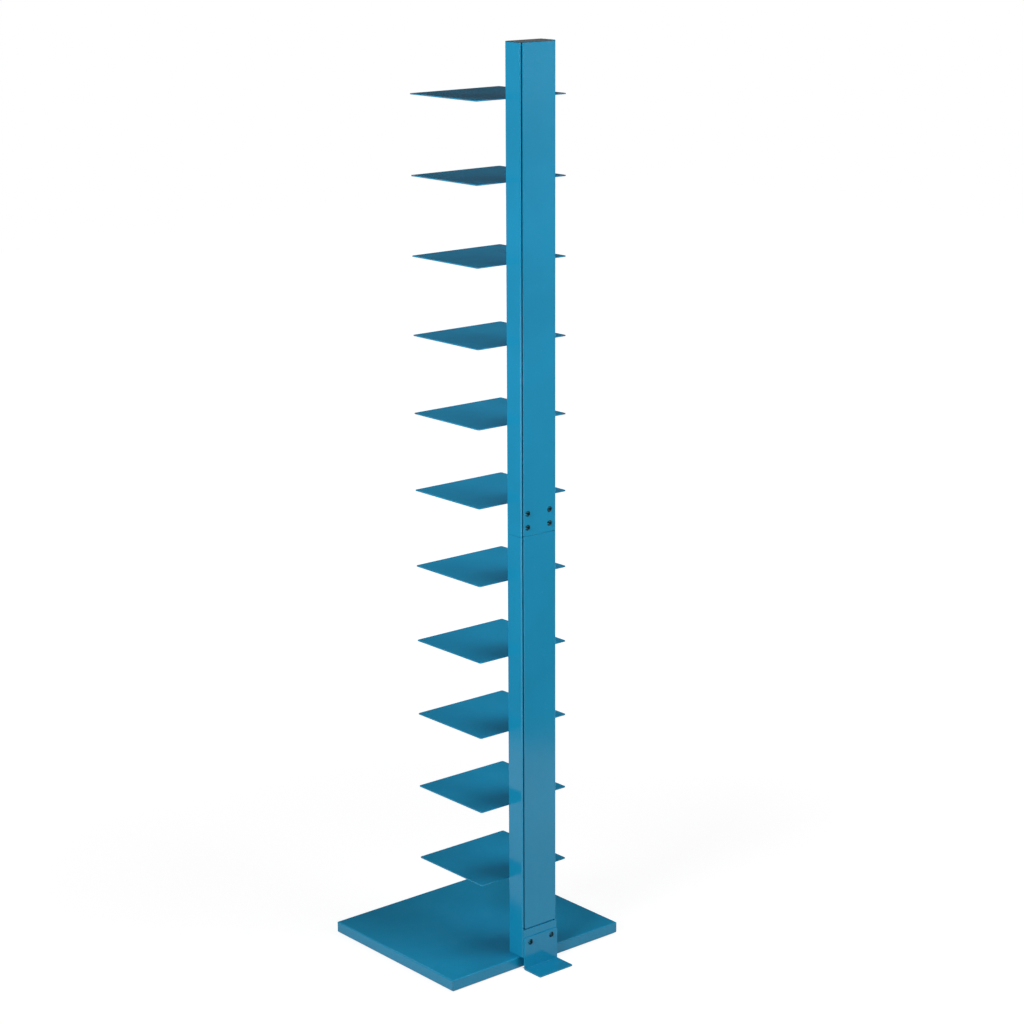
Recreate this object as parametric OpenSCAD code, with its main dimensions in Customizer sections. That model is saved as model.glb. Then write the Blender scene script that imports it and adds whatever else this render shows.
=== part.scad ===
// Spine bookshelf: a folded steel base, a two-part steel column along its back edge, and a ladder
// of flat steel shelves. Each shelf ends in a tongue that hooks into a slot in the column.
// Millimetres, +Z up, the shelves reach forward along -Y. The origin is on the floor, under the
// middle of the whole footprint.

/* [Shelves] */
// Number of shelves on the column
shelf_count = 11; // [6:1:14]
// Number of those shelves that the lower half of the column carries
lower_shelf_count = 5; // [3:1:5]
// Height from one shelf to the next
shelf_pitch = 139.5; // [130:0.5:180]
// Height of the lowest shelf's top above the top of the base
first_shelf_rise = 144; // [120:0.5:200]
// Width of a shelf
shelf_w = 200; // [120:1:300]
// Depth of a shelf, without its tongue
shelf_d = 179; // [120:1:260]
// Thickness of the shelf plate
shelf_t = 2; // [1.5:0.1:3]
// Radius of the shelf's corners
shelf_corner_r = 3; // [1:0.5:12]
// Gap between the back edge of a shelf and the column
shelf_gap = 3; // [2:0.5:15]

/* [Shelf tongue] */
// Width of the tongue where it enters the column
tongue_w = 60; // [50:1:62]
// Width of the tongue's tail, which reaches through the rack
tail_w = 44; // [30:1:46]
// How far the tail reaches past the rack
tail_past = 4; // [2:0.5:8]
// How far the two hooks under the tongue hang down
hook_drop = 3; // [2:0.5:4]
// Width of each hook
hook_w = 5; // [3:0.5:7]
// Thickness of each hook, front to back
hook_t = 2; // [1.5:0.1:3]
// Room above the tongue in its slot, so that the hooks can be lifted in
slot_lift = 4; // [3.5:0.5:6]
// Room under the tail in the rack's slot
tail_drop = 5; // [3:0.5:7]
// Gap at each side of the tongue in its slot
slot_side_gap = 0.5; // [0.3:0.1:1]

/* [Base] */
// Width of the base
base_w = 393.7; // [280:0.1:500]
// Depth of the base
base_d = 342.9; // [260:0.1:450]
// Height of the folded base, without its glides
tray_h = 21.5; // [16:0.5:40]
// Thickness of the base sheet
tray_t = 1.5; // [1:0.1:2]
// Outer radius of the base's folds
tray_fold_r = 2.5; // [2.2:0.1:4]
// Width of the lip that is folded in along the bottom of each side
tray_lip = 12; // [11:0.5:20]
// Width of the open mitre at each corner of the base
mitre_gap = 0.4; // [0.2:0.1:0.8]
// Radius of each floor glide
glide_r = 4.5; // [3:0.5:5]
// Thickness of each floor glide
glide_t = 1.5; // [1:0.1:3]
// Distance of each glide from the base's front or back edge
glide_inset = 32; // [20:1:60]

/* [Column] */
// Width of the column
column_w = 80; // [76:0.5:100]
// Depth of the column, front to back
column_d = 38; // [33:0.5:50]
// Thickness of the column sheet
column_t = 1.2; // [0.8:0.1:1.5]
// Outer radius of the column's folds
column_fold_r = 2.4; // [1.8:0.1:3]
// How far each back lip of the column shell is folded in
column_lip = 2.6; // [2.5:0.1:4]
// Width of the groove beside the back cover, at the left seen from behind
groove_w = 3; // [1:0.1:3.5]
// How far the column stands out behind the base's back edge
column_overhang = 7; // [5:0.5:20]
// Height of the column above the top shelf
head_room = 93.35; // [40:0.05:200]
// Gap between the two back covers, and between the two racks, at the splice
seam_gap = 0.4; // [0.2:0.1:1]

/* [Rack inside the column] */
// Depth from the column's front to the back face of the rack
rack_depth = 20; // [19:0.5:21]
// Thickness of the rack
rack_t = 1.5; // [1:0.1:2]
// How far the rack's side flanges reach forward
rack_flange = 12; // [8:0.5:14]
// How far the rack stops short of the column's top
rack_top_gap = 25; // [22:1:50]

/* [Splice] */
// How far the splice channel reaches up into the upper half
splice_up = 48.5; // [48:0.5:52]
// How far the splice channel reaches down into the lower half
splice_down = 70; // [40:1:75]
// Thickness of the splice channel and of the heel channel
channel_t = 2; // [1.5:0.1:2.5]
// Inner radius of the bends in those channels and in the upstand
bend_r = 0.8; // [0.5:0.1:1.2]
// Gap between each nut and the bend of the splice channel beside it
nut_side_gap = 0.1; // [0.1:0.1:4]
// Height of the lower row of splice screws above the seam
splice_row_1 = 15.5; // [12:0.5:17.5]
// Height between the two rows of splice screws
splice_row_gap = 25; // [14:0.5:25]

/* [Heel and foot] */
// Height of the column's heel channel above the base
heel_h = 53; // [45:0.5:80]
// Thickness of the upstand behind the base
upstand_t = 2.5; // [2:0.1:3]
// Thickness of the foot bracket
foot_t = 2.5; // [2:0.1:3]
// Width of the upstand above the base, and of the foot bracket screwed to it
foot_w = 78; // [64:0.5:80]
// Width of the upstand below the base's top, over its two returns
return_w = 60; // [50:1:64]
// Height of the foot bracket's upright
foot_h = 61.5; // [59:0.5:72]
// Length of the foot bracket's leg along the floor
foot_leg = 45; // [30:0.5:90]
// Outer radius of the foot bracket's fold
foot_fold_r = 3.2; // [3.2:0.1:6]
// Radius of the bracket's and the upstand's corners
plate_corner_r = 2; // [1:0.5:4]
// Height of the heel screws above the floor
heel_screw_z = 51.5; // [48:0.5:54]

/* [Screws and nuts] */
// Radius of a screw's shank
screw_r = 3; // [2.5:0.1:3]
// Radius of a screw's button head
head_r = 5.25; // [4.8:0.05:5.5]
// Height of a screw's button head
head_h = 3.3; // [2.5:0.1:3.5]
// Width across the flats of the hexagon socket
socket_af = 4; // [3:0.5:4]
// Depth of the hexagon socket
socket_depth = 2; // [1:0.1:2.2]
// Length of a splice screw under its head
splice_screw_l = 10; // [9:1:12]
// Length of a heel screw under its head
heel_screw_l = 16; // [13:1:18]
// Width across the flats of a nut
nut_af = 10; // [9:0.1:10]
// Thickness of a nut
nut_h = 5; // [3:0.1:5]
// Gap round a screw in the holes that it passes
hole_gap = 0.3; // [0.2:0.05:0.6]
// Gap round a screw in its nut
thread_gap = 0.1; // [0.05:0.05:0.15]

/* [Top cap] */
// Height of the cap's crown above the column
cap_crown = 2; // [1.6:0.1:4]
// Height of the cap's rim above the column
cap_rim = 0.9; // [0.6:0.1:1.2]
// Depth of the skirt that plugs into the column
cap_skirt = 15; // [8:0.5:20]
// Thickness of the skirt
cap_t = 2; // [1.5:0.1:3]
// Inner radius of the skirt's corners
cap_corner_r = 1; // [0.5:0.1:3]

/* [Hidden] */
$fn = 48;
// Overrun of every cut
over = 1;
// Clearance where one piece slides into another
slide_gap = 0.3;
// Clear height between the splice channel and the hooks of the shelf above it
splice_clear = 1;
// Steps in the cap's two shallow crown arcs
crown_steps = 360;
// Width of the stiffener's feet
stiffener_foot = 12;
// How far below the base's top folds the open mitres stop
mitre_stop = 0.5;
// Height of the relief that frees each return of the upstand from the plate above it
relief_h = 1.5;
// Gap between the top of the heel channel and the lower back cover
heel_seam = 1.2;

// Heights
tray_z = glide_t;
base_top = glide_t + tray_h;
first_shelf_z = base_top + first_shelf_rise;
splice_z = shelf_z(lower_shelf_count + 1) - shelf_t - hook_drop - splice_clear - splice_up;
column_top = shelf_z(shelf_count) + head_room;
heel_top = base_top + heel_h;
cover_z = heel_top + heel_seam;

// Places along Y, from the back of the foot to the front of the base
footprint_d = base_d + column_overhang + upstand_t + foot_leg;
foot_back_y = footprint_d / 2;
foot_front_y = foot_back_y - foot_leg;
column_back_y = foot_front_y - upstand_t;
base_back_y = column_back_y - column_overhang;
base_mid_y = base_back_y - base_d / 2;
column_front_y = column_back_y - column_d;
rack_back_y = column_front_y + rack_depth;
rack_front_y = rack_back_y - rack_t;
shelf_back_y = column_front_y - shelf_gap;

// Widths inside the column
shell_inner_w = column_w - 2 * column_t;
cover_w = column_w - 2 * (column_lip + groove_w);
cover_d = column_back_y - rack_back_y;
splice_w = cover_w - 2 * column_t - 2 * slide_gap;
splice_d = cover_d - column_t - slide_gap;

// Screws
screw_x = splice_w / 2 - channel_t - bend_r - nut_side_gap - nut_af / 2;
hole_r = screw_r + hole_gap;
splice_screw_zs = [splice_z + splice_row_1, splice_z + splice_row_1 + splice_row_gap];

function shelf_z(i) = first_shelf_z + (i - 1) * shelf_pitch;
function shelf_name(i) = str("shelf_", i < 10 ? "0" : "", i);

// A rectangle with round corners, centred on X, from Y = 0 to Y = d
module rounded_rect(w, d, r) {
    translate([-w / 2, r]) square([w, d - 2 * r]);
    translate([-w / 2 + r, 0]) square([w - 2 * r, d]);
    for (x = [-1, 1], y = [r, d - r])
        translate([x * (w / 2 - r), y]) circle(r);
}

// The section of a folded channel, open towards +Y, with its web along Y = 0
module channel_section(w, d, t, r) {
    difference() {
        rounded_rect(w, d + r, r);
        translate([0, t]) rounded_rect(w - 2 * t, d + 2 * r, r - t);
        translate([-w, d]) square([2 * w, 3 * r]);
    }
}

// What a square corner loses when it is rounded; the corner is at the origin, the piece towards +X +Y
module corner_waste(r) {
    difference() {
        translate([-over, -over]) square(r + over);
        translate([r, r]) circle(r);
    }
}

// Cutters that round the two corners of an upright plate, at the height z
module upright_corner_cuts(w, z, r) {
    for (side = [0, 1])
        mirror([side, 0, 0])
            translate([w / 2, column_back_y, z])
                rotate([90, 180, 0])
                    linear_extrude(2 * foot_leg, center = true) corner_waste(r);
}

// Stands a section upright between two heights
module upright(z0, z1) {
    translate([0, 0, z0]) linear_extrude(z1 - z0) children();
}

// Lays a section of Y and Z along X
module along_x(length) {
    rotate([90, 0, 90]) linear_extrude(length, center = true) children();
}

// Lays a section of X and Z along Y
module along_y(length) {
    rotate([90, 0, 0]) linear_extrude(length, center = true) children();
}

// A block whose long edges, above and below, are rounded as a sheet's folds are
module folded_block(w, d, h, r) {
    intersection() {
        along_y(d) rounded_rect(w, h, r);
        along_x(w) rounded_rect(d, h, r);
    }
}

// Places children at each pair of screws, on the plane y, with their axis towards -Y
module at_screws(y, heights) {
    for (x = [-1, 1], z = heights)
        translate([x * screw_x, y, z]) rotate([90, 0, 0]) children();
}

// Clearance holes for those screws, through everything near the back of the column
module screw_holes(heights) {
    at_screws(foot_front_y + foot_t + over, heights)
        cylinder(r = hole_r, h = foot_t + upstand_t + channel_t + column_t + 3 * over);
}

// The base: one sheet, folded down on four sides and in again along the bottom, mitred at the corners
module base_tray() {
    slit_l = 2 * tray_lip;
    slit_h = tray_h - tray_fold_r - mitre_stop;
    color("#1c7ba6")
    translate([0, base_mid_y, tray_z])
    difference() {
        folded_block(base_w, base_d, tray_h, tray_fold_r);
        translate([0, 0, tray_t])
            folded_block(base_w - 2 * tray_t, base_d - 2 * tray_t, tray_h - 2 * tray_t, tray_fold_r - tray_t);
        translate([-base_w / 2 + tray_lip, -base_d / 2 + tray_lip, -over])
            cube([base_w - 2 * tray_lip, base_d - 2 * tray_lip, tray_t + 2 * over]);
        for (x = [0, 1], y = [0, 1])
            mirror([x, 0, 0]) mirror([0, y, 0])
                translate([base_w / 2, base_d / 2, -over])
                    rotate([0, 0, 45])
                        translate([-slit_l, -mitre_gap / 2, 0])
                            cube([slit_l + over, mitre_gap, slit_h + over]);
    }
}

// A hat channel under the base's top, whose walls stand under the column's side walls
module base_stiffener() {
    length = base_d - 2 * tray_fold_r;
    height = tray_h - 2 * tray_t;
    feet_w = column_w + 2 * stiffener_foot;
    inner_w = column_w - 2 * tray_t;
    color("#1c7ba6")
    translate([0, base_mid_y, tray_z + tray_h - tray_t])
    along_y(length)
    mirror([0, 1])
    difference() {
        union() {
            channel_section(column_w, height, tray_t, tray_fold_r);
            translate([-feet_w / 2, height - tray_t]) square([feet_w, tray_t]);
        }
        translate([-inner_w / 2, height / 2]) square([inner_w, height]);
    }
}

// Four discs under the flat of the side lips, which keep the steel off the floor
module floor_glides() {
    glide_x = base_w / 2 - (tray_lip + tray_fold_r) / 2;
    glide_y = base_d / 2 - glide_inset;
    color("#262626")
    for (x = [-1, 1], y = [-1, 1])
        translate([x * glide_x, base_mid_y + y * glide_y, 0])
            cylinder(r = glide_r, h = glide_t);
}

// A plate behind the column, with two short returns that are welded to the base's back
module rear_upstand() {
    return_h = tray_h - relief_h;
    return_d = column_overhang + upstand_t;
    outer_r = upstand_t + bend_r;
    relief_w = return_w - 2 * outer_r;
    color("#2f83a8")
    difference() {
        union() {
            translate([-foot_w / 2, column_back_y, base_top])
                cube([foot_w, upstand_t, heel_h]);
            translate([-relief_w / 2, column_back_y, tray_z + return_h])
                cube([relief_w, upstand_t, relief_h + over]);
            upright(tray_z, tray_z + return_h)
                translate([0, foot_front_y]) mirror([0, 1])
                    channel_section(return_w, return_d, upstand_t, outer_r);
        }
        upright_corner_cuts(foot_w, heel_top, plate_corner_r);
        screw_holes([heel_screw_z]);
    }
}

// The L bracket: its upright is screwed to the heel and its leg lies on the floor behind the base
module foot_bracket() {
    color("#2f83a8")
    difference() {
        translate([0, foot_front_y, 0])
        along_x(foot_w)
        difference() {
            square([foot_leg, foot_h]);
            corner_waste(foot_fold_r);
            translate([foot_t, foot_t])
                difference() {
                    square([foot_leg, foot_h]);
                    corner_waste(foot_fold_r - foot_t);
                }
        }
        upright_corner_cuts(foot_w, foot_h, plate_corner_r);
        for (side = [0, 1])
            mirror([side, 0, 0])
                translate([foot_w / 2, foot_back_y, -over])
                    rotate([0, 0, 180])
                        linear_extrude(foot_t + 2 * over) corner_waste(plate_corner_r);
        screw_holes([heel_screw_z]);
    }
}

// The front, sides and back lips of one half of the column, with a slot for each shelf it carries
module column_shell(z0, z1, shelves) {
    slot_w = tongue_w + 2 * slot_side_gap;
    color("#2590c0")
    difference() {
        upright(z0, z1)
            translate([0, column_front_y])
                difference() {
                    rounded_rect(column_w, column_d, column_fold_r);
                    translate([0, column_t])
                        rounded_rect(shell_inner_w, column_d - 2 * column_t, column_fold_r - column_t);
                    translate([-column_w / 2 + column_lip, column_d / 2])
                        square([column_w - 2 * column_lip, column_d]);
                }
        for (i = shelves)
            translate([-slot_w / 2, column_front_y - over, shelf_z(i) - shelf_t])
                cube([slot_w, column_t + 2 * over, shelf_t + slot_lift]);
    }
}

// The slotted channel inside one half: the tail of each shelf passes it and bears up under its slot
module column_rack(z0, z1, shelves) {
    slot_w = tail_w + 2 * slot_side_gap;
    color("#2a86ad")
    difference() {
        upright(z0, z1)
            translate([0, rack_back_y]) mirror([0, 1])
                channel_section(shell_inner_w, rack_flange, rack_t, column_fold_r);
        for (i = shelves)
            translate([-slot_w / 2, rack_front_y - over, shelf_z(i) - shelf_t - tail_drop])
                cube([slot_w, rack_t + 2 * over, shelf_t + tail_drop]);
    }
}

// The cover that closes the back of one half. The flange folded in along the groove is welded to the
// rack, and the opposite edge is butted against the shell's lip and ground flush.
module column_cover(z0, z1) {
    reach = column_w / 2 - column_lip;
    color("#3b93b8")
    upright(z0, z1)
        translate([0, column_back_y]) mirror([0, 1]) {
            intersection() {
                channel_section(cover_w, cover_d, column_t, column_fold_r);
                square([cover_w, cover_d]);
            }
            translate([-reach, 0]) square([reach + over, column_t]);
        }
}

module lower_shell() {
    column_shell(base_top, splice_z, [1 : lower_shelf_count]);
}

module lower_rack() {
    column_rack(base_top, splice_z - seam_gap / 2, [1 : lower_shelf_count]);
}

module lower_cover() {
    column_cover(cover_z, splice_z - seam_gap / 2);
}

// The stout channel that closes the foot of the column and takes the heel screws
module heel_channel() {
    color("#2a86ad")
    difference() {
        upright(base_top, heel_top)
            translate([0, column_back_y]) mirror([0, 1])
                channel_section(cover_w, cover_d, channel_t, channel_t + bend_r);
        screw_holes([heel_screw_z]);
    }
}

// The channel that is welded in the lower half and slides up into the upper one
module splice_channel() {
    color("#2a86ad")
    difference() {
        upright(splice_z - splice_down, splice_z + splice_up)
            translate([0, column_back_y - column_t]) mirror([0, 1])
                channel_section(splice_w, splice_d, channel_t, channel_t + bend_r);
        screw_holes(splice_screw_zs);
    }
}

module upper_shell() {
    column_shell(splice_z, column_top, [lower_shelf_count + 1 : shelf_count]);
}

module upper_rack() {
    column_rack(splice_z + seam_gap / 2, column_top - rack_top_gap, [lower_shelf_count + 1 : shelf_count]);
}

module upper_cover() {
    difference() {
        column_cover(splice_z + seam_gap / 2, column_top);
        screw_holes(splice_screw_zs);
    }
}

// The plastic cap: a low crown that rests on the column's rim, and a skirt that plugs into it
module top_cap() {
    rise = cap_crown - cap_rim;
    skirt_w = shell_inner_w - 2 * slide_gap;
    skirt_d = rack_depth - column_t - 2 * slide_gap;
    side_arc_r = (pow(column_w / 2, 2) + pow(rise, 2)) / (2 * rise);
    end_arc_r = (pow(column_d / 2, 2) + pow(rise, 2)) / (2 * rise);
    color("#1b1f22")
    translate([0, column_front_y, column_top]) {
        intersection() {
            linear_extrude(cap_crown) rounded_rect(column_w, column_d, column_fold_r);
            translate([0, column_d / 2, 0])
                along_y(2 * column_d)
                    translate([0, cap_crown - side_arc_r]) circle(side_arc_r, $fn = crown_steps);
            along_x(2 * column_w)
                translate([column_d / 2, cap_crown - end_arc_r]) circle(end_arc_r, $fn = crown_steps);
        }
        translate([0, column_t + slide_gap, -cap_skirt])
            linear_extrude(cap_skirt + cap_rim / 2)
                difference() {
                    rounded_rect(skirt_w, skirt_d, cap_t + cap_corner_r);
                    translate([0, cap_t])
                        rounded_rect(skirt_w - 2 * cap_t, skirt_d - 2 * cap_t, cap_corner_r);
                }
    }
}

// A button-head screw: the underside of its head is at Z = 0 and its shank points along +Z
module button_screw(length) {
    dome_r = (pow(head_r, 2) + pow(head_h, 2)) / (2 * head_h);
    difference() {
        union() {
            intersection() {
                translate([0, 0, dome_r - head_h]) sphere(dome_r);
                translate([-head_r, -head_r, -head_h]) cube([2 * head_r, 2 * head_r, head_h]);
            }
            translate([0, 0, -head_h / 2]) cylinder(r = screw_r, h = length + head_h / 2);
        }
        translate([0, 0, -head_h - over])
            cylinder(d = socket_af / cos(30), h = socket_depth + over, $fn = 6);
    }
}

// A hexagon nut, seated at Z = 0, with two of its flats upright
module weld_nut() {
    difference() {
        rotate([0, 0, 30]) cylinder(d = nut_af / cos(30), h = nut_h, $fn = 6);
        translate([0, 0, -over]) cylinder(r = screw_r + thread_gap, h = nut_h + 2 * over);
    }
}

module splice_screws() {
    color("#2c2f31") at_screws(column_back_y, splice_screw_zs) button_screw(splice_screw_l);
}

module splice_nuts() {
    color("#9a9ea1") at_screws(column_back_y - column_t - channel_t, splice_screw_zs) weld_nut();
}

module heel_screws() {
    color("#2c2f31") at_screws(foot_front_y + foot_t, [heel_screw_z]) button_screw(heel_screw_l);
}

module heel_nuts() {
    color("#9a9ea1") at_screws(column_back_y - channel_t, [heel_screw_z]) weld_nut();
}

// One shelf: a flat plate, the tongue and tail behind it, and two hooks behind the column's front
module shelf(i) {
    shoulder_y = rack_front_y - slide_gap;
    tail_y = rack_back_y + tail_past;
    hook_y = column_front_y + column_t + slide_gap;
    color("#24718f")
    translate([0, 0, shelf_z(i) - shelf_t]) {
        linear_extrude(shelf_t) {
            translate([0, shelf_back_y - shelf_d]) rounded_rect(shelf_w, shelf_d, shelf_corner_r);
            translate([-tongue_w / 2, shelf_back_y - over])
                square([tongue_w, shoulder_y - shelf_back_y + over]);
            translate([-tail_w / 2, shoulder_y - over])
                square([tail_w, tail_y - shoulder_y + over]);
        }
        for (side = [0, 1])
            mirror([side, 0, 0])
                translate([tongue_w / 2 - hook_w, hook_y, -hook_drop])
                    cube([hook_w, hook_t, hook_drop + shelf_t]);
    }
}

base_tray();
base_stiffener();
floor_glides();
rear_upstand();
foot_bracket();
lower_shell();
lower_rack();
lower_cover();
heel_channel();
splice_channel();
upper_shell();
upper_rack();
upper_cover();
top_cap();
splice_screws();
splice_nuts();
heel_screws();
heel_nuts();
for (i = [1 : shelf_count])
    shelf(i);
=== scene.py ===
from math import radians, sqrt

import bmesh
import bpy
from mathutils import Matrix, Vector


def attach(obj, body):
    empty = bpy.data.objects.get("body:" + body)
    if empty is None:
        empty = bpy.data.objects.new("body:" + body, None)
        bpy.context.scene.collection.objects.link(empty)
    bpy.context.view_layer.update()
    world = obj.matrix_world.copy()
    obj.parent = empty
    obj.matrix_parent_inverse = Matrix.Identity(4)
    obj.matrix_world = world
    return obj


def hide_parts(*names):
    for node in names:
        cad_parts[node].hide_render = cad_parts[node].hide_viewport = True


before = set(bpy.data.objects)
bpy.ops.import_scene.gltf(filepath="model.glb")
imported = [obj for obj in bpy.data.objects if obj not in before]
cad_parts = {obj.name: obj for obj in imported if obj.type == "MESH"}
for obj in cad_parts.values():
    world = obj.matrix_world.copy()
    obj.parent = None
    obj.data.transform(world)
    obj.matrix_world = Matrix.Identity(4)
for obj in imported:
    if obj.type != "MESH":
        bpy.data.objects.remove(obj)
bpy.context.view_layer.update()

# ---------------------------------------------------------------------------- Base
# The base is one sheet of 1.5 mm steel: folded down on all four sides and in again along the
# bottom, with an open mitre at each corner. Everything outside is sprayed with one blue powder,
# baked to a satin gloss.
MM = 0.001


def block(name, low, high):
    """Adds a block between two corners given in millimetres."""
    bpy.ops.object.select_all(action="DESELECT")
    middle = [(a + b) / 2 * MM for a, b in zip(low, high)]
    size = [(b - a) * MM for a, b in zip(low, high)]
    bpy.ops.mesh.primitive_cube_add(size=1, location=middle, scale=size)
    piece = bpy.context.object
    piece.name = piece.data.name = name
    bpy.ops.object.transform_apply()
    return piece


def near(a, b):
    """Says whether two numbers are the same, but for rounding."""
    return abs(a - b) < 0.02


def pick(kind, wanted):
    """Selects the open piece's faces, edges or corners that wanted(middle in mm, direction) keeps."""
    bpy.ops.mesh.select_mode(type=kind)
    bpy.ops.mesh.select_all(action="DESELECT")
    net = bmesh.from_edit_mesh(bpy.context.object.data)
    parts = {"FACE": net.faces, "EDGE": net.edges, "VERT": net.verts}[kind]
    for part in parts:
        if kind == "FACE":
            middle, way = part.calc_center_median(), part.normal
        elif kind == "EDGE":
            ends = [v.co for v in part.verts]
            middle, way = (ends[0] + ends[1]) / 2, (ends[1] - ends[0]).normalized()
        else:
            middle, way = part.co, part.normal
        part.select_set(wanted(middle / MM, way))
    net.select_flush_mode()
    bmesh.update_edit_mesh(bpy.context.object.data)


def cut_out(wanted):
    """Deletes faces of the open piece."""
    pick("FACE", wanted)
    bpy.ops.mesh.delete(type="FACE")


def score(axis, places):
    """Cuts new edges right round the open piece, across one axis, at each place in millimetres."""
    across = [float(i == axis) for i in range(3)]
    for place in places:
        bpy.ops.mesh.select_all(action="SELECT")
        bpy.ops.mesh.bisect(plane_co=[place * MM * a for a in across], plane_no=across)


def round_edges(wanted, radius, steps):
    """Gives edges of the open piece a radius, as a press brake or a corner punch does."""
    pick("EDGE", wanted)
    bpy.ops.mesh.bevel(offset=radius * MM, segments=steps, affect="EDGES")


def choose(piece):
    """Selects a piece alone and makes it the active one."""
    bpy.ops.object.select_all(action="DESELECT")
    bpy.context.view_layer.objects.active = piece
    piece.select_set(True)


def edit(piece):
    """Opens a piece for editing."""
    choose(piece)
    bpy.ops.object.mode_set(mode="EDIT")


def close():
    """Closes the open piece."""
    bpy.ops.object.mode_set(mode="OBJECT")


def use(piece, kind, **settings):
    """Adds a modifier, sets it, and applies it."""
    choose(piece)
    tool = piece.modifiers.new(kind.lower(), kind)
    for name, value in settings.items():
        setattr(tool, name, value)
    bpy.ops.object.modifier_apply(modifier=tool.name)


def give_thickness(piece, gauge):
    """Thickens a surface inwards to sheet of this gauge, in millimetres."""
    use(piece, "SOLIDIFY", thickness=gauge * MM, offset=-1, use_even_offset=True)


def subtract(piece, cutters):
    """Takes the cutters' shapes out of the piece, and the cutters away."""
    for cutter in cutters:
        use(piece, "BOOLEAN", operation="DIFFERENCE", object=cutter)
        bpy.data.objects.remove(cutter)


def ease_edges(piece, radius=0.2, steps=2):
    """Breaks the sharp edges that a laser or a punch leaves: flats stay flat, and edges shade round."""
    use(piece, "BEVEL", width=radius * MM, segments=steps, limit_method="ANGLE", angle_limit=radians(40),
        use_clamp_overlap=False)
    bpy.ops.object.shade_smooth_by_angle(angle=radians(50))
    use(piece, "WEIGHTED_NORMAL", mode="FACE_AREA", weight=50, keep_sharp=True)


def put(tree, kind, feeds=(), **settings):
    """Adds a shader node with its settings, and feeds its inputs with values or other sockets."""
    made = tree.nodes.new("ShaderNode" + kind)
    for name, value in settings.items():
        setattr(made, name, value)
    for name, feed in dict(feeds).items():
        if isinstance(feed, bpy.types.NodeSocket):
            tree.links.new(feed, made.inputs[name])
        else:
            made.inputs[name].default_value = feed
    return made


def sum_up(tree, operation, a, b=0.0):
    """One step of arithmetic on values or sockets."""
    return put(tree, "Math", {0: a, 1: b}, operation=operation).outputs[0]


def fade(tree, value, start, end, low=0.0, high=1.0):
    """The value's place between start and end, smoothly from low to high."""
    feeds = {"Value": value, "From Min": start, "From Max": end, "To Min": low, "To Max": high}
    return put(tree, "MapRange", feeds, interpolation_type="SMOOTHSTEP").outputs["Result"]


def tint(tree, share, under, over):
    """Mixes two colours, from the first at a share of 0 to the second at 1."""
    return put(tree, "Mix", {0: share, 6: under, 7: over}, data_type="RGBA").outputs[2]


def noise(tree, place, scale, detail):
    """Soft noise between 0 and 1, with so many waves to the metre."""
    return put(tree, "TexNoise", {"Vector": place, "Scale": scale, "Detail": detail}).outputs[0]


def effect(name, inputs, outputs):
    """Starts a shader node group with its named sockets, and returns it with its two ends."""
    tree = bpy.data.node_groups.new(name, "ShaderNodeTree")
    for label, start in inputs.items():
        kind = "NodeSocketVector" if start is None else "NodeSocketFloat"
        made = tree.interface.new_socket(label, in_out="INPUT", socket_type=kind)
        if start is not None:
            made.default_value = start
    for label in outputs:
        tree.interface.new_socket(label, in_out="OUTPUT", socket_type="NodeSocketFloat")
    return tree, tree.nodes.new("NodeGroupInput").outputs, tree.nodes.new("NodeGroupOutput").inputs


# Sprayed finish: long soft clouds and upright streaks in the colour, the orange peel of melted
# powder, sparse nibs of dust baked into it, and a little loose dust on what faces up
sprayed, given, result = effect(
    "sprayed_finish",
    {"Place": None, "Peel size": 0.0028, "Nib size": 0.0006, "Streaks": 0.12, "Dust": 1.0},
    ["Tone", "Sheen", "Height", "Nibs", "Dust"],
)
NIB_CELLS = 88.0
clouds = noise(sprayed, given["Place"], 7.0, 3.0)
combed = put(sprayed, "Mapping", {"Vector": given["Place"], "Scale": (110.0, 110.0, 1.4)}).outputs[0]
strands = noise(sprayed, combed, 1.0, 2.0)
strands = sum_up(sprayed, "MULTIPLY", sum_up(sprayed, "SUBTRACT", strands, 0.5), given["Streaks"])
tone = sum_up(sprayed, "ADD", clouds, strands)
peel_scale = sum_up(sprayed, "DIVIDE", 1.0, given["Peel size"])
peel = noise(sprayed, given["Place"], peel_scale, 1.5)
grit = noise(sprayed, given["Place"], sum_up(sprayed, "MULTIPLY", peel_scale, 5.0), 1.0)
cells = put(sprayed, "TexVoronoi", {"Vector": given["Place"], "Scale": NIB_CELLS}).outputs["Distance"]
nib_reach = sum_up(sprayed, "MULTIPLY", given["Nib size"], NIB_CELLS)
nibs = fade(sprayed, sum_up(sprayed, "DIVIDE", cells, nib_reach), 1.0, 0.3)
facing = put(sprayed, "SeparateXYZ", {0: put(sprayed, "NewGeometry").outputs["Normal"]}).outputs["Z"]
lying = noise(sprayed, given["Place"], 38.0, 5.0)
dust = sum_up(sprayed, "MULTIPLY", fade(sprayed, lying, 0.42, 0.75), fade(sprayed, facing, 0.7, 0.98))
height = sum_up(sprayed, "ADD", peel, sum_up(sprayed, "MULTIPLY", grit, 0.12))
height = sum_up(sprayed, "ADD", height, sum_up(sprayed, "MULTIPLY", nibs, 1.6))
sprayed.links.new(tone, result["Tone"])
sprayed.links.new(noise(sprayed, given["Place"], 16.0, 4.0), result["Sheen"])
sprayed.links.new(height, result["Height"])
sprayed.links.new(nibs, result["Nibs"])
sprayed.links.new(sum_up(sprayed, "MULTIPLY", dust, given["Dust"]), result["Dust"])


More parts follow.
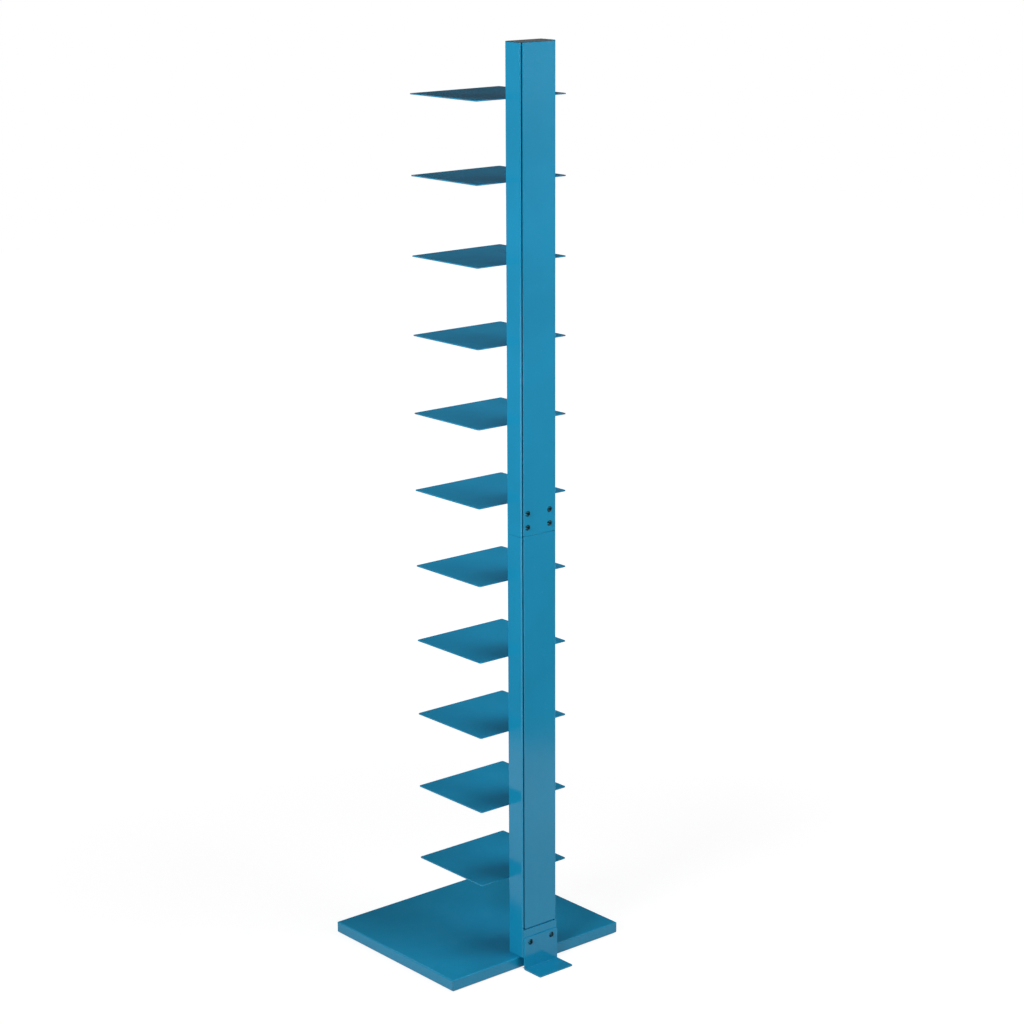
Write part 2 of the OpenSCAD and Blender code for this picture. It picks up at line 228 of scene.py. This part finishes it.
def finish_material(name, group, feeds, metallic=0.0):
    """Starts a material on the object's own coordinates, with one placed effect, and returns its parts."""
    material = bpy.data.materials.new(name)
    material.use_nodes = True
    tree = material.node_tree
    surface = tree.nodes["Principled BSDF"]
    surface.inputs["Metallic"].default_value = metallic
    placed = put(tree, "Group", node_tree=group)
    tree.links.new(put(tree, "TexCoord").outputs["Object"], placed.inputs["Place"])
    for label, value in dict(feeds).items():
        placed.inputs[label].default_value = value
    return material, tree, surface.inputs, placed.outputs


def emboss(tree, surface, height, depth):
    """Raises the grain of a surface by this depth, in millimetres."""
    feeds = {"Height": height, "Strength": 1.0, "Distance": depth * MM}
    tree.links.new(put(tree, "Bump", feeds).outputs[0], surface["Normal"])


def paint_coat(name, colour, gloss, depth, feeds=()):
    """A powder coat: its colour drifts with the cloud of powder, and nibs and dust lie lighter on it."""
    material, tree, surface, spray = finish_material(name, sprayed, feeds)
    deep = [c * 0.95 for c in colour] + [1.0]
    full = [c * 1.05 for c in colour] + [1.0]
    drift = tint(tree, fade(tree, spray["Tone"], 0.25, 0.75), deep, full)
    with_nibs = tint(tree, sum_up(tree, "MULTIPLY", spray["Nibs"], 0.35), drift, (0.3, 0.55, 0.66, 1.0))
    dusty = tint(tree, sum_up(tree, "MULTIPLY", spray["Dust"], 0.006), with_nibs, (0.5, 0.52, 0.53, 1.0))
    tree.links.new(dusty, surface["Base Color"])
    sheen = fade(tree, spray["Sheen"], 0.3, 0.7, gloss, gloss + 0.05)
    rough = sum_up(tree, "ADD", sheen, sum_up(tree, "MULTIPLY", spray["Dust"], 0.03))
    tree.links.new(rough, surface["Roughness"])
    emboss(tree, surface, spray["Height"], depth)
    return material


blue_coat = paint_coat("blue_powder_coat", (0.0075, 0.262, 0.466), 0.12, 0.0015)


def dress(piece, material, nodes):
    """Gives a finished piece its material and its slot, and sets it in the frame for its CAD nodes."""
    piece.data.materials.clear()
    piece.data.materials.append(material)
    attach(piece, "root")
    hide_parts(*nodes)


BASE_X = 196.85
BASE_FRONT, BASE_MIDDLE, BASE_BACK = -198.7, -27.25, 144.2
UNDERSIDE, BASE_TOP = 1.5, 23
TRAY_GAUGE, TRAY_FOLD, TRAY_LIP = 1.5, 2.5, 12
MITRE_LONG, MITRE_WIDE, MITRE_TALL, MITRE_Z = 48, 0.4, 21, 9.5


def round_the_outside(at, way):
    """Keeps the level edges round the outside of the base."""
    return near(way.z, 0) and (near(abs(at.x), BASE_X) or near(at.y, BASE_FRONT) or near(at.y, BASE_BACK))


tray = block("base_tray_sheet", (-BASE_X, BASE_FRONT, UNDERSIDE), (BASE_X, BASE_BACK, BASE_TOP))
edit(tray)
pick("FACE", lambda at, way: way.z < -0.9)
bpy.ops.mesh.inset(thickness=TRAY_LIP * MM)
bpy.ops.mesh.delete(type="FACE")
round_edges(round_the_outside, TRAY_FOLD, 5)
close()
give_thickness(tray, TRAY_GAUGE)
mitres = []
for x in (-BASE_X, BASE_X):
    for y in (BASE_FRONT, BASE_BACK):
        bpy.ops.object.select_all(action="DESELECT")
        turn = radians(45 if x * (y - BASE_MIDDLE) > 0 else -45)
        bpy.ops.mesh.primitive_cube_add(size=1, location=(x * MM, y * MM, MITRE_Z * MM),
                                        rotation=(0, 0, turn),
                                        scale=(MITRE_LONG * MM, MITRE_WIDE * MM, MITRE_TALL * MM))
        mitres.append(bpy.context.object)
subtract(tray, mitres)
ease_edges(tray, 0.15)
dress(tray, blue_coat, ["base_tray"])

# Stiffener: a hat channel of the same sheet, spot-welded under the top so that its two walls stand
# under the column's side walls. It is seen from below only and keeps the CAD's shape.
inner_coat = paint_coat("thin_inner_coat", (0.012, 0.21, 0.36), 0.34, 0.01,
                        {"Peel size": 0.0016, "Dust": 0.4})


def repaint(material, nodes):
    """Gives CAD nodes that keep their shape a material of this scene."""
    for name in nodes:
        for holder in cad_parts[name].material_slots:
            holder.material = material


repaint(inner_coat, ["base_stiffener"])

# Floor glides: four stick-on discs of hard rubber under the side lips, domed at the rim and dished
# in the middle where the die pressed them. They keep the steel off the floor.
moulded, given, result = effect(
    "moulded_grain", {"Place": None, "Grain size": 0.0005, "Scuffs": 0.3}, ["Tone", "Height", "Scuffs"]
)
grain_scale = sum_up(moulded, "DIVIDE", 1.0, given["Grain size"])
feeds = {"Vector": given["Place"], "Scale": grain_scale}
pits = put(moulded, "TexVoronoi", feeds, feature="SMOOTH_F1").outputs["Distance"]
rubbed = fade(moulded, noise(moulded, given["Place"], 210.0, 6.0), 0.52, 0.7)
moulded.links.new(noise(moulded, given["Place"], 60.0, 4.0), result["Tone"])
moulded.links.new(pits, result["Height"])
moulded.links.new(sum_up(moulded, "MULTIPLY", rubbed, given["Scuffs"]), result["Scuffs"])


def moulded_material(name, dark, pale, gloss, depth, feeds=()):
    """Moulded rubber or plastic: a fine pitted grain, paler and duller where it has been rubbed."""
    material, tree, surface, mould = finish_material(name, moulded, feeds)
    drift = tint(tree, fade(tree, mould["Tone"], 0.3, 0.7), (*dark, 1.0), (*pale, 1.0))
    scuffed = [c * 2.2 for c in pale] + [1.0]
    tree.links.new(tint(tree, mould["Scuffs"], drift, scuffed), surface["Base Color"])
    tree.links.new(fade(tree, mould["Tone"], 0.3, 0.7, gloss, gloss + 0.12), surface["Roughness"])
    emboss(tree, surface, mould["Height"], depth)
    return material


def rod(radius, length, place, sides=48, lean=0):
    """Adds an upright rod round a place, in millimetres, and leans it back by so many degrees."""
    bpy.ops.object.select_all(action="DESELECT")
    bpy.ops.mesh.primitive_cylinder_add(vertices=sides, radius=radius * MM, depth=length * MM,
                                        location=[p * MM for p in place], rotation=(radians(lean), 0, 0))
    return bpy.context.object


GLIDES = [(-189.6, -166.7), (189.6, -166.7), (-189.6, 112.2), (189.6, 112.2)]
GLIDE_R = 4.5
glide_rubber = moulded_material("glide_rubber_black", (0.02, 0.02, 0.021), (0.035, 0.035, 0.036), 0.6, 0.03)
for number, (x, y) in enumerate(GLIDES):
    glide = rod(GLIDE_R, UNDERSIDE, (x, y, UNDERSIDE / 2), sides=40)
    glide.name = glide.data.name = f"floor_glide_{number + 1}"
    bpy.ops.object.transform_apply()
    edit(glide)
    round_edges(lambda at, way: near(at.z, 0), 0.6, 4)
    pick("FACE", lambda at, way: way.z < -0.99)
    bpy.ops.mesh.inset(thickness=1.2 * MM)
    bpy.ops.mesh.inset(thickness=0.4 * MM, depth=-0.25 * MM)
    close()
    ease_edges(glide, 0.12)
    dress(glide, glide_rubber, ["floor_glides"])

# ---------------------------------------------------------------------------- Rear upstand
# A 2.5 mm plate behind the base that the foot of the column is bolted to. Below the base's top it is
# narrower and turns forward in two short returns, which are welded to the tray's back.


def hole_cutters(radius, places, y):
    """Round cutters along Y and 12 mm long, for screw holes at each (x, z) in millimetres."""
    return [rod(radius, 12, (x, y, z), lean=90) for x, z in places]


HEEL_SCREWS = [(-25, 51.5), (25, 51.5)]
HOLE_R = 3.3
PLATE_GAUGE, PLATE_CORNER = 2.5, 2
PLATE_X, PLATE_BACK = 39, 153.7
RETURN_X, RETURN_TOP, RETURN_FOLD = 30, 21.5, 3.3
WELD_RELIEF, UPSTAND_RISE = 1.5, 53
UPSTAND_TOP = RETURN_TOP + WELD_RELIEF + UPSTAND_RISE
FLAT_X = RETURN_X - RETURN_FOLD
WING = PLATE_X - FLAT_X
upstand = block("rear_upstand_plate", (-RETURN_X, BASE_BACK, UNDERSIDE), (RETURN_X, PLATE_BACK, RETURN_TOP))
edit(upstand)
cut_out(lambda at, way: abs(way.z) > 0.9 or way.y < -0.9)
round_edges(lambda at, way: abs(way.z) > 0.9 and near(at.y, PLATE_BACK), RETURN_FOLD, 6)
pick("EDGE", lambda at, way: near(at.z, RETURN_TOP) and near(at.y, PLATE_BACK) and abs(way.x) > 0.9)
for rise in (WELD_RELIEF, UPSTAND_RISE):
    bpy.ops.mesh.extrude_region_move(TRANSFORM_OT_translate={"value": (0, 0, rise * MM)})
for side in (-1, 1):
    pick("EDGE", lambda at, way: near(at.x, side * FLAT_X) and at.z > BASE_TOP + 0.5)
    bpy.ops.mesh.extrude_region_move(TRANSFORM_OT_translate={"value": (side * WING * MM, 0, 0)})
pick("VERT", lambda at, way: near(abs(at.x), PLATE_X) and near(at.z, UPSTAND_TOP))
bpy.ops.mesh.bevel(offset=PLATE_CORNER * MM, segments=5, affect="VERTICES")
bpy.ops.mesh.select_all(action="SELECT")
bpy.ops.mesh.normals_make_consistent(inside=False)
close()
give_thickness(upstand, PLATE_GAUGE)
subtract(upstand, hole_cutters(HOLE_R, HEEL_SCREWS, PLATE_BACK - 1.2))
ease_edges(upstand, 0.3)
dress(upstand, blue_coat, ["rear_upstand"])

# ---------------------------------------------------------------------------- Foot bracket
# An L of 2.5 mm steel. Its upright is clamped to the upstand by the heel screws, and its leg lies
# on the floor behind, where it keeps the loaded shelf from tipping back.
LEG_TIP, BRACKET_TOP, BRACKET_FOLD = 198.7, 61.5, 3.2
bracket = block("foot_bracket_plate", (-PLATE_X, PLATE_BACK, 0), (PLATE_X, LEG_TIP, BRACKET_TOP))
edit(bracket)
cut_out(lambda at, way: way.z > 0.9 or way.y > 0.9 or abs(way.x) > 0.9)
round_edges(lambda at, way: near(at.y, PLATE_BACK) and near(at.z, 0), BRACKET_FOLD, 7)
pick("VERT", lambda at, way: near(at.z, BRACKET_TOP) or near(at.y, LEG_TIP))
bpy.ops.mesh.bevel(offset=PLATE_CORNER * MM, segments=5, affect="VERTICES")
close()
give_thickness(bracket, PLATE_GAUGE)
subtract(bracket, hole_cutters(HOLE_R, HEEL_SCREWS, PLATE_BACK + 1.3))
ease_edges(bracket, 0.3)
dress(bracket, blue_coat, ["foot_bracket"])

# ---------------------------------------------------------------------------- Column, lower half
# Each half of the column is a C-shaped shell of 1.2 mm sheet with two narrow back lips and a slot
# for every shelf. Inside it a slotted rack takes the shelves' tails. A cover closes the back: it is
# folded in along a groove at one side, and ground flush with the shell's lip at the other.
SHELF_TOPS = [167 + 139.5 * step for step in range(11)]
SHELF_GAUGE, SLOT_LIFT, SLOT_X = 2, 4, 30.5
COLUMN_X, COLUMN_FRONT, COLUMN_BACK = 40, 113.2, 151.2
COLUMN_GAUGE, COLUMN_FOLD = 1.2, 2.4
LIP_X, COVER_X, COVER_FRONT = 37.4, 34.4, 133.2


def column_shell(name, foot, head, shelf_tops, node):
    """The front, sides and back lips of one half, from foot to head, with a slot at each shelf."""
    slots = [(top - SHELF_GAUGE, top + SLOT_LIFT) for top in shelf_tops]
    shell = block(name, (-COLUMN_X, COLUMN_FRONT, foot), (COLUMN_X, COLUMN_BACK, head))
    edit(shell)
    score(0, (-LIP_X, -SLOT_X, SLOT_X, LIP_X))
    score(2, [edge for slot in slots for edge in slot])
    cut_out(lambda at, way: abs(way.z) > 0.9 or (way.y > 0.9 and abs(at.x) < LIP_X))
    cut_out(lambda at, way: way.y < -0.9 and abs(at.x) < SLOT_X
            and any(low < at.z < high for low, high in slots))
    round_edges(lambda at, way: abs(way.z) > 0.9 and near(abs(at.x), COLUMN_X), COLUMN_FOLD, 6)
    close()
    give_thickness(shell, COLUMN_GAUGE)
    ease_edges(shell)
    dress(shell, blue_coat, [node])


def back_cover(name, foot, head, screws, node):
    """The cover in the back of one half, from foot to head, with holes for its screws."""
    cover = block(name, (-LIP_X, COVER_FRONT, foot), (COVER_X, COLUMN_BACK, head))
    edit(cover)
    cut_out(lambda at, way: abs(way.z) > 0.9 or way.y < -0.9 or way.x < -0.9)
    round_edges(lambda at, way: abs(way.z) > 0.9 and near(at.x, COVER_X) and near(at.y, COLUMN_BACK),
                COLUMN_FOLD, 6)
    close()
    give_thickness(cover, COLUMN_GAUGE)
    subtract(cover, hole_cutters(HOLE_R, screws, COLUMN_BACK - 0.2))
    ease_edges(cover)
    dress(cover, blue_coat, [node])


# The two halves stop a hair short of their joint, so that it shows as a fine line.
JOINT_Z, SHELL_SHORT, COVER_SHORT, COVER_FOOT = 810, 0.15, 0.4, 77.2
column_shell("lower_column_shell", BASE_TOP, JOINT_Z - SHELL_SHORT, SHELF_TOPS[:5], "lower_shell")
back_cover("lower_back_cover", COVER_FOOT, JOINT_Z - COVER_SHORT, [], "lower_cover")

# The rack, the stout heel channel at the foot and the splice channel at the top of this half are
# thinly coated inside the closed column. They show only in the slots and grooves and keep the CAD's
# shape.
repaint(inner_coat, ["lower_rack", "heel_channel", "splice_channel"])

# ---------------------------------------------------------------------------- Column, upper half
# The upper half slides over the splice channel and stands on the lower one. Its cover has the four
# holes of the splice screws.
SPLICE_SCREWS = [(-25, 825.5), (25, 825.5), (-25, 850.5), (25, 850.5)]
COLUMN_TOP = 1655.35
column_shell("upper_column_shell", JOINT_Z + SHELL_SHORT, COLUMN_TOP, SHELF_TOPS[5:], "upper_shell")
back_cover("upper_back_cover", JOINT_Z + COVER_SHORT, COLUMN_TOP, SPLICE_SCREWS, "upper_cover")
repaint(inner_coat, ["upper_rack"])

# ---------------------------------------------------------------------------- Top cap
# The cap is moulded in black plastic with a fine spark-eroded grain: a low pillow over the
# column's rim, and a hollow skirt that grips inside the front of the shell.
cap_plastic = moulded_material("cap_plastic_black", (0.014, 0.03, 0.036), (0.024, 0.046, 0.054), 0.36, 0.012,
                               {"Grain size": 0.0004, "Scuffs": 0.05})
SKIRT_GAUGE, SKIRT_CORNER, CAP_RIM = 2, 3, 0.9
skirt = block("cap_skirt", (-38.5, 114.7, COLUMN_TOP - 15), (38.5, 132.9, COLUMN_TOP + CAP_RIM / 2))
edit(skirt)
cut_out(lambda at, way: abs(way.z) > 0.9)
round_edges(lambda at, way: abs(way.z) > 0.9, SKIRT_CORNER, 5)
close()
give_thickness(skirt, SKIRT_GAUGE)
cap = block("column_top_cap", (-COLUMN_X, COLUMN_FRONT, COLUMN_TOP),
            (COLUMN_X, COLUMN_BACK, COLUMN_TOP + CAP_RIM))
edit(cap)
round_edges(lambda at, way: abs(way.z) > 0.9, COLUMN_FOLD, 6)
pick("FACE", lambda at, way: way.z > 0.9)
half = Vector((COLUMN_X, (COLUMN_BACK - COLUMN_FRONT) / 2))
cap_middle = (0, (COLUMN_BACK + COLUMN_FRONT) / 2 * MM, 0)
for run, rise in ((0.4, 0.22), (0.8, 0.2), (1.8, 0.24), (3.0, 0.2), (4.5, 0.14), (6.0, 0.08)):
    smaller = half - Vector((run, run))
    bpy.ops.mesh.extrude_region_move(TRANSFORM_OT_translate={"value": (0, 0, rise * MM)})
    bpy.ops.transform.resize(value=(smaller.x / half.x, smaller.y / half.y, 1), center_override=cap_middle)
    half = smaller
close()
choose(cap)
skirt.select_set(True)
bpy.ops.object.join()
ease_edges(cap, 0.25, 3)
dress(cap, cap_plastic, ["top_cap"])

# ---------------------------------------------------------------------------- Screws and nuts
# M6 button-head screws with a hexagon socket, in black oxide tinted teal, the tint a painted reflection of
# the blue paint round them: four clamp the splice, two longer ones clamp the heel, the upstand and the
# bracket. Each is a pressed dome on a rolled shank.
blacked, given, result = effect(
    "oxide_skin", {"Place": None, "Grain size": 0.0004}, ["Tone", "Height", "Rub"]
)
skin_scale = sum_up(blacked, "DIVIDE", 1.0, given["Grain size"])
spread = noise(blacked, given["Place"], 320.0, 3.0)
blacked.links.new(spread, result["Tone"])
blacked.links.new(noise(blacked, given["Place"], skin_scale, 4.0), result["Height"])
blacked.links.new(fade(blacked, spread, 0.55, 0.72), result["Rub"])


def plated_material(name, dark, pale, rubbed, gloss, depth, feeds=()):
    """Steel under a sealed oxide or zinc: uneven in tone, and polished where it has been handled."""
    material, tree, surface, skin = finish_material(name, blacked, feeds, metallic=1.0)
    drift = tint(tree, fade(tree, skin["Tone"], 0.3, 0.7), (*dark, 1.0), (*pale, 1.0))
    worn = tint(tree, sum_up(tree, "MULTIPLY", skin["Rub"], 0.5), drift, (*rubbed, 1.0))
    tree.links.new(worn, surface["Base Color"])
    tree.links.new(fade(tree, skin["Tone"], 0.3, 0.7, gloss + 0.1, gloss), surface["Roughness"])
    emboss(tree, surface, skin["Height"], depth)
    return material


# The oxide's dark, pale and rubbed colours are all tinted teal: dark oxide, plus a painted reflection of the
# blue paint round the heads.
black_oxide_with_painted_reflection = plated_material("black_oxide_steel", (0.008, 0.06, 0.09), (0.03, 0.13, 0.17), (0.1, 0.3, 0.35),
                              0.1, 0.003)
zinc = plated_material("zinc_plated_steel", (0.5, 0.52, 0.54), (0.62, 0.64, 0.66), (0.75, 0.76, 0.76),
                       0.34, 0.01, {"Grain size": 0.0008})
HEAD_R, HEAD_H, HEAD_RIM = 5.25, 3.3, 0.3
SHANK_R, SHANK_TIP = 3.0, 0.8
SOCKET_R, SOCKET_DEPTH = 2.31, 2


def button_screw(name, length):
    """One screw with its seat on Y = 0 and its head towards +Y, in millimetres."""
    screw = rod(HEAD_R, HEAD_RIM, (0, HEAD_RIM / 2, 0), lean=-90)
    screw.name = screw.data.name = name
    bpy.ops.object.transform_apply()
    dome = (HEAD_R ** 2 + HEAD_H ** 2) / (2 * HEAD_H)
    edit(screw)
    pick("FACE", lambda at, way: way.y > 0.9)
    ring, level = HEAD_R, HEAD_RIM
    for smaller in (5.16, 5.0, 4.75, 4.4, 3.95, 3.4, 2.75, 2.0, 1.0):
        higher = HEAD_H - dome + sqrt(dome ** 2 - smaller ** 2)
        bpy.ops.mesh.inset(thickness=(ring - smaller) * MM)
        bpy.ops.transform.translate(value=(0, (higher - level) * MM, 0))
        ring, level = smaller, higher
    pick("FACE", lambda at, way: way.y < -0.9)
    bpy.ops.mesh.inset(thickness=(HEAD_R - SHANK_R) * MM)
    for run in (length - SHANK_TIP, SHANK_TIP):
        bpy.ops.mesh.extrude_region_move(TRANSFORM_OT_translate={"value": (0, -run * MM, 0)})
    bpy.ops.transform.resize(value=(0.76, 1, 0.76))
    close()
    subtract(screw, [rod(SOCKET_R, 2 * SOCKET_DEPTH, (0, HEAD_H, 0), sides=6, lean=-90)])
    ease_edges(screw, 0.12)
    return screw


def set_copies(master, label, places, finish):
    """Puts a copy of a piece at each place, in millimetres, with a mesh of its own, and drops the master."""
    for number, place in enumerate(places, 1):
        choose(master)
        bpy.ops.object.duplicate()
        twin = bpy.context.object
        twin.name = twin.data.name = f"{label}_{number:02d}"
        bpy.ops.transform.translate(value=[p * MM for p in place])
        bpy.ops.object.transform_apply()
        finish(twin, number)
    bpy.data.objects.remove(master)


set_copies(button_screw("short_screw", 10), "splice_screw", [(x, COLUMN_BACK, z) for x, z in SPLICE_SCREWS],
           lambda twin, number: dress(twin, black_oxide_with_painted_reflection, ["splice_screws"]))
set_copies(button_screw("long_screw", 16), "heel_screw",
           [(x, PLATE_BACK + PLATE_GAUGE, z) for x, z in HEEL_SCREWS],
           lambda twin, number: dress(twin, black_oxide_with_painted_reflection, ["heel_screws"]))

# The nuts are zinc-plated and welded inside the channels, out of sight.
repaint(zinc, ["splice_nuts", "heel_nuts"])

# ---------------------------------------------------------------------------- Shelves
# Eleven flat plates of 2 mm steel with small round corners. A tongue behind each one enters the
# column's slot, its two hooks drop behind the front sheet, and its tail passes the rack.
SHELF_X, SHELF_FRONT, SHELF_BACK, SHELF_CORNER = 100, -68.8, 110.2, 3
TONGUE_X, HOOK_X, TAIL_X = 30, 25, 22
HOOK_FRONT, HOOK_BACK, TONGUE_END = 114.7, 116.7, 131.4
HOOK_DROP, TAIL_REACH = 3, 5.8
shelf = block("shelf_plate", (-SHELF_X, SHELF_FRONT, -SHELF_GAUGE), (SHELF_X, SHELF_BACK, 0))
edit(shelf)
round_edges(lambda at, way: abs(way.z) > 0.9, SHELF_CORNER, 6)
score(0, (-TONGUE_X, -HOOK_X, HOOK_X, TONGUE_X))
pick("FACE", lambda at, way: way.y > 0.9 and abs(at.x) < TONGUE_X)
for reach in (HOOK_FRONT - SHELF_BACK, HOOK_BACK - HOOK_FRONT, TONGUE_END - HOOK_BACK):
    bpy.ops.mesh.extrude_region_move(TRANSFORM_OT_translate={"value": (0, reach * MM, 0)})
score(0, (-TAIL_X, TAIL_X))
pick("FACE", lambda at, way: way.y > 0.9 and near(at.y, TONGUE_END) and abs(at.x) < TAIL_X)
bpy.ops.mesh.extrude_region_move(TRANSFORM_OT_translate={"value": (0, TAIL_REACH * MM, 0)})
pick("FACE", lambda at, way: way.z < -0.9 and HOOK_FRONT < at.y < HOOK_BACK and HOOK_X < abs(at.x) < TONGUE_X)
bpy.ops.mesh.extrude_region_move(TRANSFORM_OT_translate={"value": (0, 0, -HOOK_DROP * MM)})
close()
ease_edges(shelf, 0.35, 3)
set_copies(shelf, "shelf_plate", [(0, 0, top) for top in SHELF_TOPS],
           lambda twin, number: dress(twin, blue_coat, [f"shelf_{number:02d}"]))

# ---------------------------------------------------------------------------- Studio
# A floor and a sky that look white to the camera, four softboxes, two grey cards that the column's
# glossy sides mirror, and black flags round the set, so that steel lying flat stays deep in colour.


def seen_by(tree, mirrored):
    """1 for rays from the camera or through glass, a set share off a gloss, and 0 for all others."""
    path = put(tree, "LightPath").outputs
    direct = sum_up(tree, "MAXIMUM", path["Is Camera Ray"], path["Is Transmission Ray"])
    return sum_up(tree, "MAXIMUM", direct, sum_up(tree, "MULTIPLY", path["Is Glossy Ray"], mirrored))


world = bpy.context.scene.world or bpy.data.worlds.new("studio")
bpy.context.scene.world = world
world.use_nodes = True
sky = world.node_tree
sky.nodes["Background"].inputs["Color"].default_value = (1, 1, 1, 1)
SKY_FILL = 0.08
sky.links.new(fade(sky, seen_by(sky, 1.0), 0, 1, SKY_FILL, 1.0), sky.nodes["Background"].inputs["Strength"])

bpy.ops.object.select_all(action="DESELECT")
FLOOR_Z = -0.2  # just below the glides and the leg, so that no two surfaces coincide
bpy.ops.mesh.primitive_plane_add(size=16, location=(0, 0, FLOOR_Z * MM))
floor = bpy.context.object
floor.name = "studio_floor"
bpy.ops.object.transform_apply()
paper = bpy.data.materials.new("pale_floor")
paper.use_nodes = True
tree = paper.node_tree
matt = tree.nodes["Principled BSDF"]
matt.inputs["Roughness"].default_value = 0.9
matt.inputs["Specular IOR Level"].default_value = 0.1
spot = put(tree, "TexCoord").outputs["Object"]
along = put(tree, "SeparateXYZ", {0: spot}).outputs


def depth_inside(reach_x, middle_y, reach_y):
    """How far the spot lies inside a rectangle on the floor, in metres."""
    from_x = sum_up(tree, "SUBTRACT", reach_x * MM, sum_up(tree, "ABSOLUTE", along["X"]))
    off_y = sum_up(tree, "ABSOLUTE", sum_up(tree, "SUBTRACT", along["Y"], middle_y * MM))
    return sum_up(tree, "MINIMUM", from_x, sum_up(tree, "SUBTRACT", reach_y * MM, off_y))


# The floor's glow drops to a tenth right under the base and the upstand: a painted shadow under them.
# It glows everywhere else, a little less near the shelf, and glossy steel mirrors only part of that glow.
covered = sum_up(tree, "MAXIMUM", depth_inside(196, BASE_MIDDLE, 171), depth_inside(38.5, 149, 9))
outside = fade(tree, covered, 0.002, 0.006, 1.0, 0.1)
middle = put(tree, "VectorMath", {0: spot}, operation="LENGTH").outputs["Value"]
glow = sum_up(tree, "MULTIPLY", outside, fade(tree, middle, 0.5, 2.2, 0.86, 1.0))
shade = tint(tree, seen_by(tree, 1.0), (0.4, 0.4, 0.4, 1), (0.25, 0.25, 0.25, 1))
tree.links.new(shade, matt.inputs["Base Color"])
matt.inputs["Emission Color"].default_value = (1, 1, 1, 1)
# Glossy steel mirrors half of the glow within 0.35 m of the middle, rising to about three quarters beyond 1.1
# m: painted shade round the shelf's foot in the mirrored floor.
mirrored = fade(tree, middle, 0.35, 1.1, 0.5, 0.74)
tree.links.new(sum_up(tree, "MULTIPLY", glow, seen_by(tree, mirrored)), matt.inputs["Emission Strength"])
floor.data.materials.append(paper)


def dull_board(name, colour):
    """A dull material with a white glow of its own. Returns it, and the socket of its glow's strength."""
    board = bpy.data.materials.new(name)
    board.use_nodes = True
    surface = board.node_tree.nodes["Principled BSDF"].inputs
    surface["Base Color"].default_value = colour
    surface["Specular IOR Level"].default_value = 0.0
    surface["Emission Color"].default_value = (1, 1, 1, 1)
    return board, surface["Emission Strength"]


bpy.ops.object.select_all(action="DESELECT")
bpy.ops.mesh.primitive_cylinder_add(vertices=96, radius=5, depth=3.2, end_fill_type="NOTHING",
                                    location=(0, 0, 2.0))
flags = bpy.context.object
flags.name = "black_flags"
bpy.ops.object.transform_apply()
felt, felt_glow = dull_board("black_felt", (0.02, 0.022, 0.025, 1))
felt_glow.default_value = 0.04
flags.data.materials.append(felt)


def reflected_only(piece):
    """Sets a flag or card so that only glossy steel shows it: it takes and gives no light."""
    piece.visible_camera = piece.visible_diffuse = piece.visible_shadow = False
    piece.visible_transmission = piece.visible_volume_scatter = False


reflected_only(flags)


def grey_card(name, x, y, width, height, low, high):
    """An upright card that faces the column and pales from its foot to its top."""
    bpy.ops.object.select_all(action="DESELECT")
    upright = Vector((-x, -y, 0)).to_track_quat("Z", "Y").to_euler()
    bpy.ops.mesh.primitive_plane_add(size=1, location=(x, y, height / 2), rotation=upright)
    card = bpy.context.object
    card.name = name
    card.scale = (width, height, 1)
    bpy.ops.object.transform_apply()
    board, board_glow = dull_board(name + "_board", (0, 0, 0, 1))
    tree = board.node_tree
    level = put(tree, "SeparateXYZ", {0: put(tree, "TexCoord").outputs["Object"]}).outputs["Z"]
    tree.links.new(fade(tree, level, 0, height, low, high), board_glow)
    card.data.materials.append(board)
    reflected_only(card)


grey_card("right_card", -0.742, 1.052, 1.8, 1.7, low=0.15, high=0.36)
grey_card("left_card", 0.826, -0.796, 1.8, 1.7, low=0.11, high=0.22)


def softbox(name, place, aim, width, height, power, beam=110, mirrored=False):
    """A lamp of this width and height in metres, power in watts and beam in degrees, turned to its aim."""
    bpy.ops.object.light_add(type="AREA", location=place)
    lamp = bpy.context.object
    lamp.name = name
    lamp.data.shape = "RECTANGLE"
    lamp.data.size, lamp.data.size_y = width, height
    lamp.data.energy = power
    lamp.data.spread = radians(beam)
    lamp.rotation_mode = "QUATERNION"
    lamp.rotation_quaternion = (Vector(aim) - Vector(place)).to_track_quat("-Z", "Y")
    lamp.visible_camera = False
    lamp.visible_glossy = mirrored


softbox("left_softbox", (2.77, 0.52, 1.9), (0, 0.1, 1.2), 1.4, 1.3, power=29)
softbox("right_softbox", (-1.4, 2.55, 1.9), (0, 0.1, 1.2), 2.4, 1.3, power=29.5)
softbox("low_softbox", (2.05, 1.05, 0.45), (0, 0.13, 0.6), 1.1, 0.8, power=7.4, beam=180, mirrored=True)
softbox("front_softbox", (-0.3, -1.35, 2.1), (0, 0, 0.95), 1.2, 0.7, power=2.2, beam=44)

# The camera stands behind the shelf and to its left, a little above it, where the photographer's did.
# It is set by its own right-hand and backward directions.
bpy.ops.object.camera_add()
camera = bpy.context.object
camera.name = "photo_camera"
right = Vector((-0.762874, 0.646533, -0.004196)).normalized()
back = Vector((0.624887, 0.738968, 0.25188)).normalized()
up = back.cross(right)
turn = Matrix((right, up, back)).transposed().to_4x4()
turn.translation = Vector((2.81396, 3.40728, 1.96964))
camera.matrix_world = turn
camera.data.sensor_width = 36
camera.data.lens = 89.98
camera.data.clip_start, camera.data.clip_end = 0.05, 60
bpy.context.scene.camera = camera
bpy.context.scene.view_settings.view_transform = "Standard"
